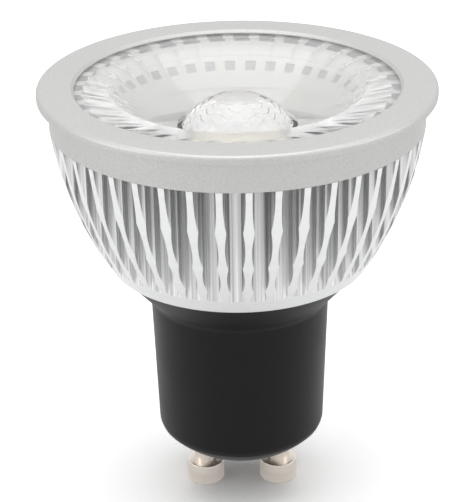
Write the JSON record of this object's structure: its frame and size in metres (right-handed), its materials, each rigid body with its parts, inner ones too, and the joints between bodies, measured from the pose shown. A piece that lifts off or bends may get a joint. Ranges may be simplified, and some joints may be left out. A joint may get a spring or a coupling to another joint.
{
  "type": "spotlight bulb",
  "caption": "LED spotlight bulb: bowl-shaped finned heat sink, clear collimator lens in a silver front ring, black moulded base and a twist-lock pin cap.",
  "frame": {"origin": "on the bulb's axis, midway between the contact pins, at the underside of their feet", "axes": "+Z along the bulb's axis from the pins to the front ring; +X from the left pin to the right pin; -Y faces the viewer of the picture"},
  "size_m": [0.05, 0.05, 0.0576],
  "materials": {
    "blasted_aluminium": "fine blasted satin",
    "clear_plastic": "clear polished",
    "turned_aluminium": "turned satin edges, plain extruded flanks",
    "black_plastic": "satin moulded",
    "pin_metal": "nickel plated, warm",
    "board_white": "white solder mask",
    "phosphor_yellow": "soft silicone",
    "silicone_white": "soft silicone",
    "silicone_grey": "soft silicone",
    "screw_steel": "zinc plated",
    "board_green": "glass-fibre board",
    "ferrite": "pressed and fired",
    "bobbin_plastic": "moulded",
    "copper_winding": "enamelled copper",
    "sleeve_black": "shrunk sleeve on a can",
    "film_yellow": "moulded box",
    "chip_black": "moulded epoxy",
    "resistor_blue": "lacquered",
    "lead_white": "insulated wire",
    "lead_red": "insulated wire",
    "lead_black": "insulated wire"
  },
  "bodies": {
    "root": {"front_ring": "blasted_aluminium", "lens": "clear_plastic", "heat_sink": "turned_aluminium", "base_housing": "black_plastic", "contact_pin_left": "pin_metal", "contact_pin_right": "pin_metal", "led_board": "board_white", "phosphor_disc": "phosphor_yellow", "phosphor_dam": "silicone_white", "thermal_pad": "silicone_grey", "led_screws": "screw_steel", "base_screws": "screw_steel", "driver_board": "board_green", "transformer_core": "ferrite", "transformer_bobbin": "bobbin_plastic", "transformer_winding": "copper_winding", "input_capacitor": "sleeve_black", "output_capacitor": "sleeve_black", "film_capacitor": "film_yellow", "bridge_rectifier": "chip_black", "driver_chip": "chip_black", "fuse_resistor": "resistor_blue", "mains_lead_left": "lead_white", "mains_lead_right": "lead_white", "led_lead_red": "lead_red", "led_lead_black": "lead_black"}
  },
  "joints": []
}
